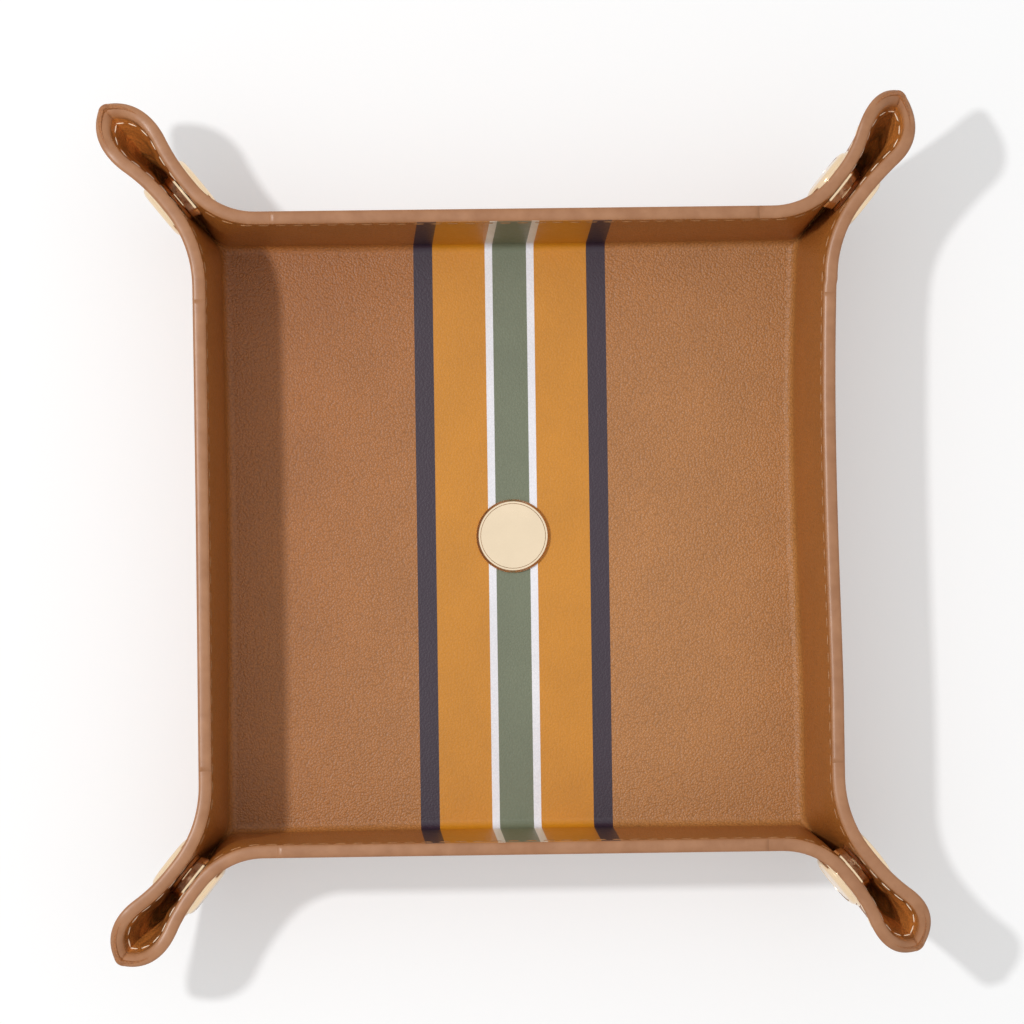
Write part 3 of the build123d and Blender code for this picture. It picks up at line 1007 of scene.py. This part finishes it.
def stitched(name, wall, ways):
    """Stitches at these places of the path, on the lining and on the outer side."""
    points, faces = [], []
    for way in ways:
        for face in (-stitch_face, stitch_face):
            middle = at_depth(wall, way, face, stitch_depth)
            along = (at_depth(wall, way + next_way, face, stitch_depth) - middle).normalized()
            off = (at_depth(wall, way, face * next_face, stitch_depth) - middle).normalized()
            across = off.cross(along).normalized()
            first = len(points)
            for x, y, z in stitch_points:
                points.append(middle + (along * x + across * y + off * z) * mm)
            faces += [tuple(first + index for index in corners) for corners in stitch_faces]
    mesh = bpy.data.meshes.new(name)
    mesh.from_pydata(points, [], faces)
    piece = bpy.data.objects.new(name, mesh)
    bpy.context.scene.collection.objects.link(piece)
    edit_all(piece)
    bpy.ops.mesh.normals_make_consistent(inside=False)
    bpy.ops.object.mode_set(mode="OBJECT")
    bpy.ops.object.shade_smooth()
    mesh.materials.append(thread)
    return piece


def stitch_ways(side, first, last):
    """Places along the path, a stitch apart, between two places of it."""
    found, walked, due = [], 0.0, stitch_pitch / 2
    previous = strip_point(side, 0.0, 0.0, rim_height - stitch_depth)
    for step in range(1, way_steps + 1):
        way = loop_end_way * step / way_steps
        point = strip_point(side, way, 0.0, edge_height(side, way) - stitch_depth)
        walked += (point - previous).length
        previous = point
        if walked >= due:
            due += stitch_pitch
            if first <= way < last:
                found.append(way)
    return found


for wall in walls:
    on_wall = stitch_ways(wall.side, 0.0, last_wall_stitch)
    on_ear = stitch_ways(wall.side, last_wall_stitch, last_ear_stitch)
    piece = stitched(f"{wall.name}_wall_stitches", wall, on_wall + [-way for way in on_wall])
    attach(piece, f"{wall.name}_wall")
    for end, ear in ((1, wall.right), (-1, wall.left)):
        name = f"{ear}_ear_{wall.name}_stitches"
        piece = stitched(name, wall, [end * way for way in on_ear])
        bend_with_ear(piece, wall, end, ear)


# The press studs are brass, plated pale gold. Each cap is a polished low dome
# with two turned grooves, riveted through the leather to a socket or a stud.
snap_colour = (0.84, 0.64, 0.42)
cap_radius = 7.5
cap_corners = 72
# the cap's turned outline, from its rim inwards: how far out and how high
cap_profile = (
    (7.50, 0.30), (7.38, 0.52), (7.10, 0.68), (6.84, 0.66), (6.76, 0.26), (6.58, 0.26), (6.50, 0.86),
    (6.32, 1.12), (5.90, 1.36), (5.40, 1.52), (5.04, 1.55), (4.94, 1.14), (4.76, 1.14), (4.66, 1.48),
    (3.90, 1.57), (2.60, 1.60), (1.30, 1.62), (0.30, 1.62),
)
snap_out = 7.6
cap_seat = 4.2


def metal_finish(name, colour, roughness, brush):
    """Plated metal with hairlines and a little handling haze."""
    material, shader, add, link = new_material(name)
    place = add("TexCoord").outputs["Object"]
    haze = add("TexNoise", scale=140.0, detail=4.0, roughness=0.6)
    hair = add("TexNoise", scale=brush, detail=2.0, roughness=0.5)
    link(place, haze.inputs["Vector"])
    link(place, hair.inputs["Vector"])
    bright, dull = roughness - 0.05, roughness + 0.08
    gloss = ramp(add, link, haze.outputs["Fac"], 0.0, 1.0, bright, dull, "LINEAR")
    link(gloss, shader.inputs["Roughness"])
    bump = add("Bump", strength=0.08, distance=0.00005)
    link(hair.outputs["Fac"], bump.inputs["Height"])
    link(bump.outputs["Normal"], shader.inputs["Normal"])
    shader.inputs["Base Color"].default_value = (*colour, 1.0)
    shader.inputs["Metallic"].default_value = 1.0
    return material


def paint_node(name, material):
    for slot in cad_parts[name].material_slots:
        slot.material = material


snap_metal = metal_finish("snap_metal", snap_colour, 0.13, 2400.0)
bpy.ops.object.select_all(action="DESELECT")
bpy.ops.mesh.primitive_circle_add(vertices=cap_corners, radius=cap_radius, fill_type="NGON")
one_cap = bpy.context.object
edit_all(one_cap)
reach, rise = cap_radius, 0.0
for next_reach, next_rise in cap_profile:
    bpy.ops.mesh.extrude_region_move(TRANSFORM_OT_translate={"value": (0.0, 0.0, next_rise - rise)})
    shrink = next_reach / reach
    bpy.ops.transform.resize(value=(shrink, shrink, 1.0), center_override=(0.0, 0.0, next_rise))
    reach, rise = next_reach, next_rise
bpy.ops.mesh.select_all(action="SELECT")
bpy.ops.mesh.normals_make_consistent(inside=False)
bpy.ops.object.mode_set(mode="OBJECT")

drop = down(snap_height)
for wall in walls:
    side = wall.side
    fastener = "socket" if side is striped else "stud"
    for end, ear in ((1, wall.right), (-1, wall.left)):
        body = f"{ear}_ear_{wall.name}"
        paint_node(f"{body}_{fastener}", snap_metal)
        along = Vector((end * cos(side.turn), sin(side.turn), 0.0))
        upward = Vector((end * side.next_lean, side.lean, rim_height - fold_radius))
        away = upward.cross(along).normalized() * end
        corner_x, corner_y = wall_mid - side.next_lean * drop, wall_mid - side.lean * drop
        corner = Vector((end * corner_x, corner_y, snap_height))
        seat = corner + along * snap_out + away * cap_seat
        across = away.cross(along)
        cap = bpy.data.objects.new(f"{body}_cap_dome", one_cap.data.copy())
        bpy.context.scene.collection.objects.link(cap)
        for vertex in cap.data.vertices:
            x, y, z = vertex.co
            vertex.co = on_tray(wall, seat + along * x + across * y + away * z)
        finish_piece(cap, snap_metal)
        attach(cap, body)
        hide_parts(f"{body}_cap")
bpy.data.objects.remove(one_cap)


# The medallion is a plain cast disc with a thin raised border, plated pale gold
# and satin brushed. Its post goes through the lining to a washer on the board.
medallion_gold = (0.80, 0.655, 0.47)
washer_grey = (0.55, 0.55, 0.56)
paint_node("medallion", metal_finish("medallion_metal", medallion_gold, 0.24, 3200.0))
paint_node("medallion_washer", metal_finish("washer_steel", washer_grey, 0.35, 1800.0))


# The stiffeners are grey bookbinder's board, let into the hidden side of the
# lining of the floor and of each wall, so that the tray folds in straight lines.
board_dark = (0.20, 0.19, 0.17)
board_pale = (0.34, 0.32, 0.29)
board_grey, shader, add, link = new_material("grey_board")
fibre = add("TexNoise", scale=700.0, detail=5.0)
link(add("TexCoord").outputs["Object"], fibre.inputs["Vector"])
tint = two_tones(add, link, fibre.outputs["Fac"], board_dark, board_pale, 0.0, 1.0)
link(tint, shader.inputs["Base Color"])
shader.inputs["Roughness"].default_value = 0.85
for node_name in ["floor_board"] + [f"{wall.name}_wall_board" for wall in walls]:
    paint_node(node_name, board_grey)
